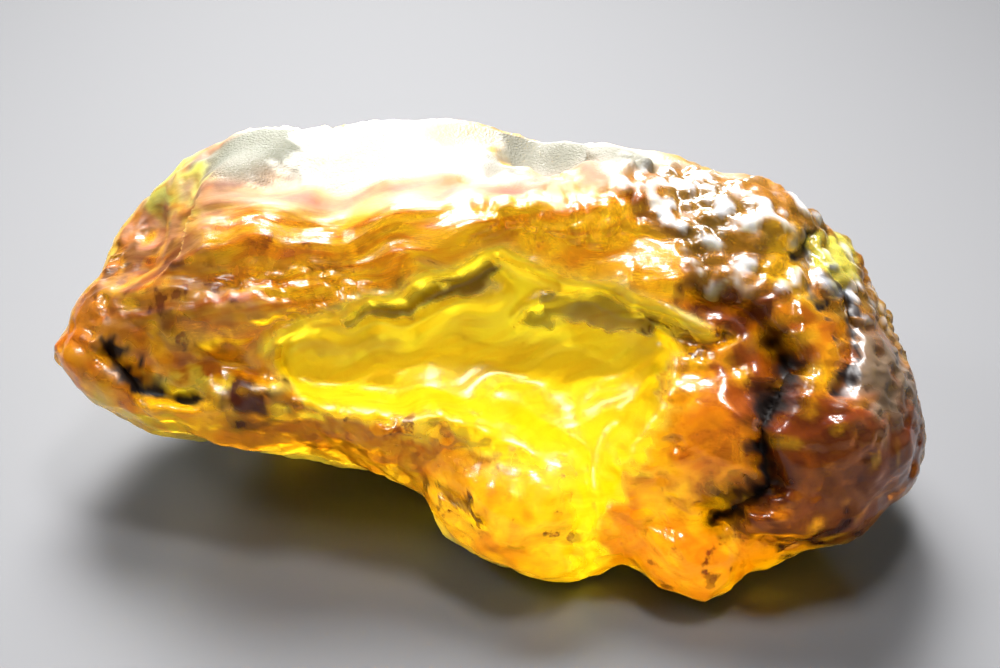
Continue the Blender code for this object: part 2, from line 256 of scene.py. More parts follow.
def spine_rays():
    """Start s = length (v - 1/2) + reach cos(pi v), way = (-cos pi v, sin pi v round u)."""
    v, u = np.meshgrid(np.linspace(0, 1, ROWS + 1), np.arange(ROUND) / ROUND, indexing="ij")
    turn = 2 * np.pi * u + FRONT_SHARE * np.sin(2 * np.pi * u)
    s = SPINE_LENGTH * (v - 0.5) + SPINE_REACH * np.cos(np.pi * v)
    knots = SECTIONS[:, 0]
    t = curve(s, knots, SECTIONS[:, 1:3].mean(1))
    w = curve(s, knots, SECTIONS[:, 3:5].mean(1))
    side = np.cos(turn)[..., None] * AWAY + np.sin(turn)[..., None] * UP
    way = np.sin(np.pi * v)[..., None] * side - np.cos(np.pi * v)[..., None] * RIGHT
    return world(s, t, w), way


def surface(start, way):
    """The points where each ray leaves the body, found by halving the distance."""
    near = np.zeros(way.shape[:-1])
    far = np.full(way.shape[:-1], LENGTH / 2)
    for _ in range(HALVINGS):
        middle = (near + far) / 2
        out = outside(start + way * middle[..., None]) > 0
        far = np.where(out, middle, far)
        near = np.where(out, near, middle)
    return start + way * far[..., None]


def facing(points):
    """The outward direction of the body at each point, from the slope of its field."""
    steps = PROBE * np.eye(3)
    slope = np.stack([outside(points + step) - outside(points - step) for step in steps], -1)
    return slope / np.linalg.norm(slope, axis=-1, keepdims=True)


def grid_facing(points):
    """The outward direction at each point of the grid, across its neighbours."""
    along = np.gradient(points, axis=0)
    across = np.roll(points, -1, 1) - np.roll(points, 1, 1)
    way = np.cross(across, along)
    way /= np.maximum(np.linalg.norm(way, axis=-1, keepdims=True), NEARLY_ZERO)
    return way


# The front break: a big shell-shaped scar under an arched ledge, with a step and a bowl
# below it, and the folds, cracks and swellings round it. Every path is given in s and t.
def distance(s, t, path):
    """Distance from places on the front to a path of straight stretches."""
    best = np.full(np.shape(s), LENGTH)
    for a, b in zip(path[:-1], path[1:]):
        run = b - a
        f = np.clip(((s - a[0]) * run[0] + (t - a[1]) * run[1]) / (run @ run), 0, 1)
        best = np.minimum(best, np.hypot(s - a[0] - f * run[0], t - a[1] - f * run[1]))
    return best


def round_distance(s, t, paths, soft):
    """Distance to paths without creases: -soft log(sum exp(-d / soft)) over the stretches."""
    near = 0
    for path in paths:
        for a, b in zip(path[:-1], path[1:]):
            near = near + np.exp(-distance(s, t, np.array([a, b])) / soft)
    return np.maximum(-soft * np.log(near), 0)


def within(s, t, outline):
    """True for the places inside a closed outline, by counting its crossings."""
    odd = np.zeros(np.shape(s), bool)
    for a, b in zip(outline, np.roll(outline, -1, 0)):
        if a[1] == b[1]:
            continue
        spans = (a[1] > t) != (b[1] > t)
        odd ^= spans & (s < (b[0] - a[0]) * (t - a[1]) / (b[1] - a[1]) + a[0])
    return odd


def patch(s, t, outline, soft):
    """1 inside a closed outline and 0 outside it, over a soft edge."""
    edge = distance(s, t, np.vstack([outline, outline[:1]]))
    return rise(0.5 + np.where(within(s, t, outline), edge, -edge) / soft)


def spot(s, t, centre, radii):
    """A round soft spot: exp of minus the squared distance, in its own radii."""
    return np.exp(-(((s - centre[0]) / radii[0]) ** 2) - ((t - centre[1]) / radii[1]) ** 2)


ARCH = mm(
    (-10.3, -0.7), (-8.7, 0.3), (-6.5, 1.1), (-4.3, 1.8), (-2.2, 2.9), (-0.9, 3.3),
    (0.2, 3.5), (1.3, 3.2), (3.0, 2.6), (5.2, 1.9), (7.2, 1.1), (8.8, 0.1),
)
BREAK_RIGHT = mm((8.8, 0.1), (8.2, -0.8), (7.8, -2.4), (6.9, -3.7), (5.6, -5.1), (3.9, -7.6))
BREAK_RIM = mm(
    (3.9, -7.6), (2.6, -5.9), (0.2, -4.7), (-1.4, -4.2), (-3.5, -3.7), (-6.4, -3.5),
    (-9.4, -3.2), (-10.2, -2.2), (-10.3, -0.7),
)
BREAK_STEP = mm(
    (-10.1, -1.8), (-7.4, -1.2), (-4.9, -0.9), (-2.0, -0.3), (0.7, 0.6), (4.0, 0.6),
    (6.1, 0.0), (7.8, -1.2),
)
BREAK = np.vstack([ARCH, BREAK_RIGHT[1:], BREAK_RIM[:-1]])
ARCH_WALL = 1.0 * MM
RIM_WALL = 1.5 * MM
RIM_SOFT = 0.7 * MM
ARCH_DEPTH = 1.3 * MM
STEP_DEPTH = 0.5 * MM
STEP_REACH = 2.4 * MM
BOWL_DEPTH = 1.4 * MM
BOWL_REACH = 2.6 * MM

# Ridges and grooves on the front: the path of each, its half width and its height
FOLD_UNDER_ARCH = mm(
    (-9.5, -0.1), (-6.9, 0.1), (-4.3, 0.4), (-2.8, 0.7), (-1.2, 1.4), (0.1, 1.9),
)
FOLD_TO_ARCH = mm((0.7, 0.8), (1.7, 1.6), (2.8, 2.2))
LIP_OVER_ARCH = mm(
    (-4.3, 2.9), (-2.2, 4.1), (0.0, 5.1), (1.7, 5.5), (3.5, 5.2), (5.6, 4.0), (7.8, 2.6),
)
UPPER_FOLD = mm((-15.0, 3.6), (-11.0, 3.4), (-7.0, 4.2), (-3.0, 5.6))
NOTCH = mm((5.4, -4.4), (4.5, -6.0), (3.9, -8.0), (3.6, -9.9))
CREVICE_TOP = mm((8.6, 1.8), (9.5, 1.5), (10.4, 1.0), (11.5, 0.2), (12.2, -0.8))
CREVICE = mm(
    (12.2, -0.8), (12.5, -2.0), (11.8, -3.2), (11.2, -4.2), (11.4, -5.4), (11.8, -6.5),
    (9.6, -7.8),
)
END_CREASE = mm((14.7, 1.6), (15.0, 0.6), (15.1, -0.7), (15.0, -2.2))
LEFT_CREVICE = mm((-16.8, -0.7), (-15.9, -1.4), (-14.8, -2.4), (-13.0, -2.8))
LOW_CRACK = mm((11.8, -9.4), (13.0, -8.9), (14.1, -8.4), (15.2, -7.9))
SLIT = mm((-2.6, -6.5), (-1.4, -7.3), (-0.7, -8.2))
SIDE_CRACK = mm((6.5, 0.7), (7.4, -0.1), (8.8, -0.5), (9.5, -0.2))
FLAP = mm((6.4, 1.3), (8.2, 0.9), (9.4, 0.0), (8.8, -0.4), (7.5, 0.0), (6.6, 0.5))
FLAP_EDGE = 0.35 * MM
FLAP_HEIGHT = 0.3 * MM
CREASES = (
    (FOLD_UNDER_ARCH, 0.35 * MM, 0.35 * MM),
    (FOLD_TO_ARCH, 0.35 * MM, 0.3 * MM),
    (LIP_OVER_ARCH, 0.8 * MM, 0.45 * MM),
    (UPPER_FOLD, 0.8 * MM, 0.3 * MM),
    (NOTCH, 0.6 * MM, -0.8 * MM),
    (CREVICE_TOP, 0.45 * MM, -0.8 * MM),
    (CREVICE, 0.65 * MM, -1.7 * MM),
    (END_CREASE, 0.4 * MM, -0.7 * MM),
    (LEFT_CREVICE, 0.45 * MM, -1.2 * MM),
    (LOW_CRACK, 0.3 * MM, -0.5 * MM),
    (SLIT, 0.35 * MM, -0.5 * MM),
    (SIDE_CRACK, 0.3 * MM, -0.4 * MM),
)

# Swellings and dents on the front: centre, radii and height of each
SWELLS = (
    (mm(9.4, -4.6), mm(2.1, 2.6), 1.0 * MM),
    (mm(10.6, -2.0), mm(0.8, 1.2), -0.4 * MM),
    (mm(-11.2, 1.2), mm(2.8, 1.0), 0.8 * MM),
    (mm(-12.4, -1.3), mm(2.0, 0.9), -0.9 * MM),
    (mm(-9.8, -2.9), mm(3.6, 0.8), 0.5 * MM),
    (mm(-5.5, -4.3), mm(3.8, 0.6), 0.5 * MM),
    (mm(13.1, 3.6), mm(0.6, 0.6), -0.8 * MM),
    (mm(6.2, 3.6), mm(2.0, 0.8), -0.5 * MM),
    (mm(13.4, 0.0), mm(1.3, 1.9), 0.4 * MM),
)


def front_break(s, t):
    """Depth of the big break: a steep wall under the arch, a step and a bowl below."""
    from_arch = distance(s, t, ARCH)
    from_rim = np.minimum(distance(s, t, BREAK_RIGHT), distance(s, t, BREAK_RIM))
    off_rim = rise(from_rim / RIM_WALL)
    below_step = distance(s, t, BREAK_STEP)
    under = t < np.interp(s, BREAK_STEP[:, 0], BREAK_STEP[:, 1])
    sharp = 1 - (1 - np.clip(from_arch / ARCH_WALL, 0, 1)) ** 2
    wall = ARCH_DEPTH * sharp * off_rim
    step = STEP_DEPTH * np.where(under, rise(below_step / STEP_REACH), 0) * off_rim
    round_arch = round_distance(s, t, (ARCH,), RIM_SOFT)
    round_rim = round_distance(s, t, (BREAK_RIGHT, BREAK_RIM), RIM_SOFT)
    bowl = BOWL_DEPTH * rise(round_arch / BOWL_REACH) * rise(round_rim / BOWL_REACH)
    return np.where(within(s, t, BREAK), wall + step + bowl, 0)


def relief(s, t):
    """How far the front stands in front of its plain body, at each place."""
    height = FLAP_HEIGHT * patch(s, t, FLAP, FLAP_EDGE) - front_break(s, t)
    for path, width, tall in CREASES:
        height = height + tall * np.exp(-((distance(s, t, path) / width) ** 2))
    for centre, radii, tall in SWELLS:
        height = height + tall * spot(s, t, centre, radii)
    return height


# The skin: resin that flowed in streaks on the upper front, broke smooth in the big break
# and in small chips elsewhere, and weathered to a pitted, bubbled crust at the right end.

# How squarely a place faces the eye where it is wholly front, as a cosine, how far the
# outlines there wander, and how much calmer the swelling is in the break
FRONT_TURN = 0.35
BEND = 0.12 * MM
BEND_WAVE = 2.6 * MM
CALM_IN_BREAK = 0.6

# Ripples in the skin: the height or share of each, its length and its seed
SWELLING = ((0.16 * MM, 8.0 * MM, 3), (0.09 * MM, 3.6 * MM, 4))
STREAKS = ((1.0, 0.8 * MM, 22),)
THREADS = ((1.0, 0.9 * MM, 23),)
SLIPS = ((1.0, 1.3 * MM, 24), (0.5, 0.6 * MM, 25))
GRAIN = ((1.0, 1.2 * MM, 26), (0.6, 0.6 * MM, 27))

# Where each kind of skin lies: the crust of the right end, which is bubbly on top, the
# streaked band over the arch, the level frosted top, and wet spots by centre and radii
CRUST = mm(
    (4.3, 6.3), (6.5, 7.4), (9.8, 7.8), (12.5, 7.0), (14.4, 5.6), (17.4, 2.6), (20.0, -1.5),
    (20.5, -5.0), (17.6, -4.4), (16.6, -2.8), (15.4, -3.0), (15.0, 1.0), (13.6, 1.9), (11.3, 1.3),
    (9.8, 1.6), (8.4, 2.3), (7.6, 4.0), (6.0, 5.2),
)
CRUST_EDGE = 1.0 * MM
END_CRUST_SHARE = 0.8
END_CRUST_START = 12.0 * MM
END_CRUST_REACH = 4.0 * MM
BUBBLY_START = -0.5 * MM
BUBBLY_REACH = 2.0 * MM
BAND = mm(
    (-17.0, 0.5), (-14.5, 6.3), (6.0, 6.6), (8.0, 2.5), (0.0, 4.2), (-4.3, 2.3), (-10.3, 0.3),
)
BAND_EDGE = 1.5 * MM
TOP_LEVEL = 0.8
TOP_LEVEL_REACH = 0.1
TOP_HEIGHT = 12.5 * MM
TOP_HEIGHT_REACH = 1.0 * MM
TOP_START = 6.3 * MM
TOP_REACH = 0.5 * MM
WET_LUMPS = (
    (mm(-9.5, 1.9), mm(2.8, 1.1)),
    (mm(3.2, 5.2), mm(3.4, 1.0)),
    (mm(13.0, -2.5), mm(1.0, 0.6)),
    (mm(15.4, -4.0), mm(1.2, 0.9)),
    (mm(11.0, -7.0), mm(2.0, 0.8)),
    (mm(5.5, -8.6), mm(2.0, 1.0)),
)

# How the streaks run: their slope and how far they are drawn out
FLOW_SLOPE = np.radians(8.0)
FLOW_LONG = 6.0
FOLD_LONG = 3.0
GLIDE_SLOPE = np.radians(24.0)
GLIDE_LONG = 5.0

# How many small forms there are, their sizes, and the few that stray from their zone
CHIPS = 420
CHIP_ROUND = 6.0 * MM
CHIPS_BEHIND = 0.35
FEWEST_CHIPS = 0.02
BUBBLES = 600
BUBBLE_SIZES = mm(0.2, 0.5)
STRAY_BUBBLES = 1e-5
DROPS = 480
DROP_SIZES = mm(0.2, 0.42)
STRAY_DROPS = 1e-6
PITS = 420
PIT_SIZES = mm(0.15, 0.5)
CRUST_PITS = 2
FLAKES = 420
FLAKE_ROUND = 1.6 * MM
FLAKES_OFF_BAND = 0.3
STRAY_FLAKES = 1e-5

# How high the fine relief stands, in metres or as a share of each form
STREAK_HEIGHT = 0.03 * MM
THREAD_SHARE = 0.6
SLIP_HEIGHT = 0.03 * MM
GRAIN_HEIGHT = 0.025 * MM
CHIP_SHARE = 0.9
BUBBLE_SHARE = 0.7
DROP_SHARE = 0.9
PIT_SHARE = 0.5
FLAKE_HEIGHT = 0.12 * MM
FLAKE_SHARE_OFF_BAND = 0.5


def caps(points, centres, radii):
    """The tallest of many round caps at each point: sqrt(r^2 - d^2) over each centre."""
    height = np.zeros(points.shape[:-1])
    for centre, radius in zip(centres, radii):
        gap = radius**2 - ((points - centre) ** 2).sum(-1)
        height = np.maximum(height, np.sqrt(np.maximum(gap, 0)))
    return height


def chips(points, centres, round_off):
    """Shallow dishes that meet in sharp ridges: d^2 / 2R from the nearest centre."""
    nearest = np.full(points.shape[:-1], LENGTH**2)
    for centre in centres:
        nearest = np.minimum(nearest, ((points - centre) ** 2).sum(-1))
    return nearest / (2 * round_off)


def scattered(places, chance_map, count, seed):
    """A number of the grid's places, picked by chance where the map is high."""
    chance = np.random.default_rng(seed)
    share = chance_map.ravel() / chance_map.sum()
    return places.reshape(-1, 3)[chance.choice(share.size, count, replace=False, p=share)]


def sizes(count, smallest, largest, seed):
    """Many sizes between two limits, most of them small: a chance squared."""
    return smallest + (largest - smallest) * np.random.default_rng(seed).random(count) ** 2


def scattered_caps(chance_map, count, limits, seed):
    """Round caps of many sizes on the body, scattered where the map is high."""
    centres = scattered(body, chance_map, count, seed)
    return caps(body, centres, sizes(count, *limits, seed + 1))


def stretched(slope, long):
    """Places on the front along and across a slope, divided by long along it."""
    along = s_bent * np.cos(slope) + t_bent * np.sin(slope)
    across = t_bent * np.cos(slope) - s_bent * np.sin(slope)
    return np.stack([along / long, across, w / long], -1)


start, way = spine_rays()
body = surface(start, way)
outward = facing(body)
s, t, w = sight(body)
turned = rise(-(outward @ AWAY) / FRONT_TURN)
level = outward[..., 2]
s_bent = s + BEND * ripples(body, BEND_WAVE, seed=51)
t_bent = t + BEND * ripples(body, BEND_WAVE, seed=53)
eye = EYE_TARGET - EYE_DISTANCE * AWAY
nearer = (eye - body) / np.linalg.norm(eye - body, axis=-1, keepdims=True)
window = np.clip(front_break(s_bent, t_bent) * turned / ARCH_DEPTH, 0, 1)
skin = body + nearer * (relief(s_bent, t_bent) * turned)[..., None]
skin = skin + outward * (mixed(body, SWELLING) * (1 - CALM_IN_BREAK * window))[..., None]
outward = grid_facing(skin)

end_crust = rise(body[..., 0], END_CRUST_START, END_CRUST_REACH) * (1 - turned)
front_crust = patch(s_bent, t_bent, CRUST, CRUST_EDGE) * turned
crust = np.maximum(front_crust, END_CRUST_SHARE * end_crust)
bubbly = crust * rise(t_bent, BUBBLY_START, BUBBLY_REACH)
band = patch(s_bent, t_bent, BAND, BAND_EDGE) * turned
top = rise(level, TOP_LEVEL, TOP_LEVEL_REACH) * (1 - crust)
top = top * rise(body[..., 2], TOP_HEIGHT, TOP_HEIGHT_REACH)
top = top * np.where(turned > 0.5, rise(t_bent, TOP_START, TOP_REACH), 1)
weathered = (1 - window) * (1 - band) * (1 - top)
wet = np.zeros(s.shape)
for centre, radii in WET_LUMPS:
    wet = np.maximum(wet, spot(s_bent, t_bent, centre, radii) * turned)

flow = stretched(FLOW_SLOPE, FLOW_LONG)
folds = stretched(FLOW_SLOPE, FOLD_LONG)
glide = stretched(GLIDE_SLOPE, GLIDE_LONG)
streaks = mixed(flow, STREAKS) + THREAD_SHARE * (1 - np.abs(mixed(flow, THREADS)))
chips_here = CHIPS_BEHIND + (1 - CHIPS_BEHIND) * turned
chip_map = np.clip(weathered * (1 - crust) * chips_here, FEWEST_CHIPS, 1)
chipped = chips(body, scattered(body, chip_map, CHIPS, seed=28), CHIP_ROUND)
bubbles = scattered_caps(bubbly**2 + STRAY_BUBBLES, BUBBLES, BUBBLE_SIZES, seed=29)
drops = scattered_caps(wet**2 + STRAY_DROPS, DROPS, DROP_SIZES, seed=31)
pit_map = np.clip(chip_map + CRUST_PITS * (crust - bubbly), 0, CRUST_PITS)
pits = scattered_caps(pit_map**2, PITS, PIT_SIZES, seed=33)
flake_chances = band + FLAKES_OFF_BAND * weathered * turned + STRAY_FLAKES
flakes = chips(folds, scattered(folds, flake_chances, FLAKES, seed=35), FLAKE_ROUND)
flake_map = np.clip(band + FLAKE_SHARE_OFF_BAND * weathered * turned * (1 - crust), 0, 1)

fine = STREAK_HEIGHT * streaks * band + SLIP_HEIGHT * mixed(glide, SLIPS) * window
fine = fine + GRAIN_HEIGHT * mixed(body, GRAIN) * weathered
fine = fine + CHIP_SHARE * chipped * chip_map
fine = fine + BUBBLE_SHARE * bubbles * rise(2 * bubbly)
fine = fine + np.minimum(flakes, FLAKE_HEIGHT) * flake_map
fine = fine + DROP_SHARE * drops * rise(2 * wet)
fine = fine - PIT_SHARE * pits * np.minimum(pit_map, 1)
skin = skin + outward * fine[..., None] - MIDDLE

# What stands above the solid is pressed to half its height, and nothing is below the ground
above_solid = np.maximum(skin[..., 2] - cad_box[1][2], 0)
skin[..., 2] = np.maximum(skin[..., 2] - above_solid / 2, 0.0)
outward = grid_facing(skin)


def closed_mesh(name, grid):
    """A closed skin over a grid: one point for each end row, four-sided faces between."""
    rows, around = grid.shape[:2]
    inner = grid[1:-1].reshape(-1, 3)
    points = np.vstack([grid[0].mean(0), inner, grid[-1].mean(0)])
    ring = np.arange(around)
    after = (ring + 1) % around
    first = 1 + np.arange(rows - 3)[:, None] * around
    corners = (first + ring, first + after, first + around + after, first + around + ring)
    quads = np.stack(corners, -1)
    low_fan = np.stack([np.zeros_like(ring), 1 + after, 1 + ring], -1)
    high = 1 + (rows - 3) * around
    high_fan = np.stack([np.full_like(ring, len(points) - 1), high + ring, high + after], -1)
    mesh = bpy.data.meshes.new(name)
    faces = quads.reshape(-1, 4).tolist() + low_fan.tolist() + high_fan.tolist()
    mesh.from_pydata(points, [], faces)
    mesh.shade_smooth()
    return mesh


def per_point(values):
    """Grid values in the order of the mesh's points, the mean of each end row for its end."""
    flat = values.reshape(values.shape[0], values.shape[1], -1)
    inner = flat[1:-1].reshape(-1, flat.shape[-1])
    return np.vstack([flat[0].mean(0), inner, flat[-1].mean(0)])


mesh = closed_mesh("nodule", skin)
nodule = bpy.data.objects.new("nodule", mesh)
bpy.context.scene.collection.objects.link(nodule)

# The finish: honey yellow where the resin is fresh, orange and red-brown where the skin is
# weathered, pale where it is frosted, nearly black in the crevices. Painted light lies in it
# too: olive and brown shade under the ledges of the break, a yellow-green glow at the left
# rim, crevice and knob, a mauve sheen on the left skin and glints on the bubble tops. Each
# finish is red, green, blue, how little it lets through and how dull it is.
HONEY = np.array([1.0, 1.0, 0.40, 0.0, 0.34])
AMBER = np.array([0.90, 0.50, 0.02, 0.15, 0.2])
DEEP_AMBER = np.array([0.58, 0.14, 0.002, 0.26, 0.18])
BURNT = np.array([0.30, 0.07, 0.002, 0.36, 0.15])
RED_BROWN = np.array([0.16, 0.025, 0.002, 0.55, 0.2])
DARK_RED = np.array([0.05, 0.006, 0.001, 0.80, 0.3])
BROWN = np.array([0.40, 0.15, 0.015, 0.30, 0.3])
FROST_BROWN = np.array([0.11, 0.038, 0.004, 0.65, 0.35])
# Brown skin with a painted pale sheen: its mauve tint stands in for light off the dull skin
BROWN_WITH_SHEEN = np.array([0.36, 0.15, 0.06, 0.55, 0.6])
FRINGE = np.array([0.17, 0.062, 0.012, 0.78, 0.9])
# Painted shade: dark olive under the arch, where its ledge shades the break
LEDGE_SHADE_OLIVE = np.array([0.20, 0.12, 0.003, 0.70, 0.12])
# Painted glow: yellow-green light along the left rim, the left crevice, the top-left corner and a
# knob at the right
YELLOW_GREEN_GLOW = np.array([0.60, 0.60, 0.10, 0.35, 0.2])
FROST = np.array([0.50, 0.50, 0.45, 0.2, 0.5])
GREEN_FROST = np.array([0.05, 0.05, 0.025, 0.95, 0.9])
OLIVE_FROST = np.array([0.065, 0.06, 0.035, 0.95, 0.9])
CRUSTY = np.array([0.14, 0.07, 0.012, 0.65, 0.2])
# Frosted pale bubble tops, whose bluish white is partly painted glint
PALE_BUBBLE_GLINT = np.array([0.62, 0.66, 0.74, 0.55, 0.08])
GREY_BROWN = np.array([0.12, 0.08, 0.05, 0.85, 0.3])
BLACK = np.array([0.01, 0.004, 0.002, 1.0, 0.7])
SKIN = np.array([1.0, 0.80, 0.15, 0.05, 0.6])
UNDERSIDE = np.array([1.0, 0.90, 0.26, 0.92, 0.8])

# Ragged strokes on the front: the finish, its path, half width and share
STROKES = (
    (HONEY, NOTCH, 0.8 * MM, 0.9),
    (BROWN, mm((-10.2, -2.9), (-6.5, -4.0), (-2.6, -5.4), (0.5, -6.0)), 0.3 * MM, 0.7),
    # Painted glow: a yellow-green line of light along the lower left rim
    (YELLOW_GREEN_GLOW, mm((-17.5, -2.4), (-15.8, -3.6), (-14.0, -4.3)), 0.5 * MM, 0.8),
    (BROWN, mm((-15.5, 1.6), (-11.0, 2.9), (-7.5, 3.6)), 0.8 * MM, 0.75),
    (DARK_RED, CREVICE_TOP, 0.9 * MM, 0.9),
    (DARK_RED, CREVICE, 1.0 * MM, 0.8),
    (BLACK, CREVICE, 0.55 * MM, 1.0),
    (BLACK, END_CREASE, 0.3 * MM, 1.0),
    # Painted glow: yellow-green light along the edge of the left crevice
    (YELLOW_GREEN_GLOW, mm((-14.5, -1.9), (-13.4, -2.3), (-12.4, -2.2)), 0.4 * MM, 0.9),
    (BLACK, mm((-17.2, -0.4), (-15.9, -1.4), (-14.8, -2.4), (-12.8, -2.8)), 0.5 * MM, 1.0),
    (DARK_RED, LOW_CRACK, 0.3 * MM, 0.9),
    (DARK_RED, SLIT, 0.25 * MM, 0.9),
    (DARK_RED, SIDE_CRACK, 0.15 * MM, 0.9),
    (BROWN, mm((7.6, -0.4), (7.5, -1.6), (7.2, -2.9)), 0.14 * MM, 0.7),
    (BROWN, mm((8.2, -0.5), (8.2, -1.6), (7.9, -2.6)), 0.14 * MM, 0.7),
)

# Smooth lines on the front: the finish, its path, half width and share
LINES = (
    (FRINGE, mm((-13.0, 5.9), (-7.0, 6.1), (0.0, 6.2), (4.0, 6.4)), 0.7 * MM, 0.95),
    (HONEY, ARCH, 0.3 * MM, 0.9),
    (HONEY, FOLD_UNDER_ARCH, 0.3 * MM, 0.9),
)

# Closed patches on the front: the finish, its outline, soft edge and share
PATCHES = (
    (HONEY, mm(
        (-10.0, -1.8), (-6.9, -1.0), (-3.5, -0.3), (0.0, 0.4), (2.6, 0.0), (6.1, -0.5), (7.8, -0.5),
        (7.6, -2.9), (6.5, -4.6), (5.4, -5.9), (4.8, -7.6), (4.1, -8.9), (3.3, -8.9), (2.6, -7.9),
        (1.3, -6.8), (-0.9, -5.7), (-3.0, -4.6), (-5.2, -3.9), (-8.2, -3.5), (-9.5, -2.9),
    ), 0.8 * MM, 0.95),
    # Painted shade: an olive band under the left of the arch, in the shade of its ledge
    (LEDGE_SHADE_OLIVE, mm(
        (-7.6, 0.6), (-5.6, 1.6), (-3.5, 2.4), (-1.3, 3.0), (0.2, 3.0), (0.1, 2.3), (-1.7, 1.8),
        (-3.0, 1.1), (-4.6, 0.7), (-6.5, 0.4),
    ), 0.5 * MM, 1.0),
    # Painted shade: an olive band under the right of the arch, in the shade of its ledge
    (LEDGE_SHADE_OLIVE, mm(
        (2.6, 2.1), (4.3, 2.0), (6.5, 1.3), (8.2, 0.5), (8.0, 0.0), (6.1, 0.1), (4.3, 0.5),
        (2.8, 0.7), (1.5, 0.4), (0.7, 0.7), (1.7, 1.6),
    ), 0.6 * MM, 0.8),
    (GREEN_FROST, mm(
        (-15.9, 5.6), (-14.8, 7.0), (-11.3, 9.4), (-8.7, 10.2), (-8.7, 6.7), (-12.4, 6.0),
        (-13.5, 5.6), (-14.6, 4.8),
    ), 0.8 * MM, 0.97),
    (OLIVE_FROST, mm(
        (0.5, 9.4), (3.5, 9.2), (6.4, 8.0), (6.6, 6.9), (5.0, 6.4), (3.0, 6.3), (0.0, 6.5),
        (-1.0, 7.6),
    ), 1.4 * MM, 0.97),
    # Painted shade: a brown band under the fold below the arch, in the shade of that ledge
    (BROWN, mm(
        (-10.0, -0.2), (-7.0, -0.1), (-4.3, 0.0), (-4.5, -0.9), (-7.0, -1.1), (-10.0, -1.3),
    ), 0.6 * MM, 0.4),
)

# Round ragged spots on the front: the finish, its centre, radii and share
SPOTS = (
    (BURNT, mm(-8.0, -4.5), mm(4.8, 1.0), 1.1),
    (DEEP_AMBER, mm(-4.0, -5.2), mm(3.0, 0.9), 0.8),
    (FROST_BROWN, mm(-15.5, 3.0), mm(3.4, 3.4), 0.95),
    # Painted sheen: a mauve haze on the brown skin of the upper left
    (BROWN_WITH_SHEEN, mm(-14.2, 4.6), mm(2.0, 1.0), 0.6),
    (BROWN, mm(-17.0, -0.6), mm(1.4, 2.0), 0.8),
    # Painted glow: a yellow-green cast at the top-left corner
    (YELLOW_GREEN_GLOW, mm(-14.0, 6.3), mm(1.6, 1.2), 0.6),
    # Painted sheen: a mauve haze on the brown bulge at the left
    (BROWN_WITH_SHEEN, mm(-11.0, 1.3), mm(2.0, 0.8), 0.7),
    (BURNT, mm(-12.4, -1.3), mm(2.2, 1.0), 1.1),
    (DARK_RED, mm(-10.8, -2.9), mm(1.7, 1.1), 0.95),
    # Painted glow: yellow-green light at the left crevice
    (YELLOW_GREEN_GLOW, mm(-13.2, -2.0), mm(0.7, 0.35), 0.9),
    (DEEP_AMBER, mm(-18.6, -0.8), mm(1.2, 1.2), 0.7),
    (DEEP_AMBER, mm(9.4, -4.6), mm(2.2, 2.6), 0.9),
    (BURNT, mm(9.8, -4.8), mm(1.8, 2.2), 0.5),
    (RED_BROWN, mm(10.7, -2.2), mm(1.4, 2.0), 1.2),
    (RED_BROWN, mm(10.4, 0.9), mm(2.0, 1.1), 1.1),
    (BLACK, mm(12.0, -2.9), mm(1.1, 0.8), 0.95),
    (BLACK, mm(11.5, -4.8), mm(0.6, 1.3), 0.9),
    (RED_BROWN, mm(15.5, -6.0), mm(4.2, 3.4), 1.6),
    (RED_BROWN, mm(12.7, -7.6), mm(2.6, 1.3), 1.1),
    (BURNT, mm(13.7, -0.4), mm(1.4, 1.8), 0.9),
    (GREY_BROWN, mm(16.8, -2.0), mm(1.8, 2.6), 0.85),
    (AMBER, mm(12.2, 3.2), mm(1.0, 1.4), 0.7),
    (DEEP_AMBER, mm(8.1, -9.8), mm(1.9, 1.9), 0.8),
    (AMBER, mm(1.0, -7.6), mm(3.6, 2.0), 0.8),
    # Painted glow: the small knob at the right edge, yellow-green as if lit through
    (YELLOW_GREEN_GLOW, mm(14.4, 3.0), mm(1.0, 1.0), 0.9),
    (BLACK, mm(13.1, 3.6), mm(0.5, 0.5), 0.9),
    (BLACK, mm(14.0, 2.0), mm(0.6, 0.35), 0.9),
    (BLACK, mm(-6.9, 2.7), mm(0.4, 0.25), 0.8),
)

# Where dark flecks lie under the skin of the front, by centre and radii, and behind
FLECKS = (
    (mm(0.5, -7.4), mm(4.0, 2.2)),
    (mm(-5.5, -4.2), mm(5.5, 0.9)),
    (mm(8.1, -9.6), mm(2.4, 1.8)),
    (mm(11.5, -8.2), mm(3.0, 1.2)),
    (mm(-14.0, 1.0), mm(3.5, 2.5)),
    (mm(-8.0, 3.6), mm(3.0, 1.2)),
    (mm(9.5, 0.6), mm(2.0, 1.4)),
    (mm(8.6, -6.5), mm(1.6, 1.6)),
)
FLECKS_BEHIND = 0.5

# Ripples in the finish: the height or share of each, its length and its seed, and the
# middle or the most of what they make
RAGGED_S = ((0.22 * MM, 1.4 * MM, 61), (0.12 * MM, 0.6 * MM, 62))
RAGGED_T = ((0.22 * MM, 1.4 * MM, 63), (0.12 * MM, 0.6 * MM, 64))
PATCHY = ((0.35, 5.0 * MM, 41), (0.25, 1.8 * MM, 42))
PATCHY_SHARE = 0.5
MOTTLED = ((0.6, 1.5 * MM, 47), (0.4, 0.6 * MM, 48))
MOTTLED_SHARE = 0.2
UNEVEN = ((0.35, 1.1 * MM, 43),)
MOST_UNEVEN = 1.3
GLINT_TOP_WAVES = ((1.0, 1.4 * MM, 45),)
GLINT_TOP_SHARE = 0.45

# Where pale tops with painted glints begin on the height of a bubble, where the underside
# begins on how far the skin faces down, and how far past that each is whole
GLINT_TOP_START = 0.2 * MM
GLINT_TOP_REACH = 0.15 * MM
UNDERSIDE_START = 0.1
UNDERSIDE_REACH = 0.3

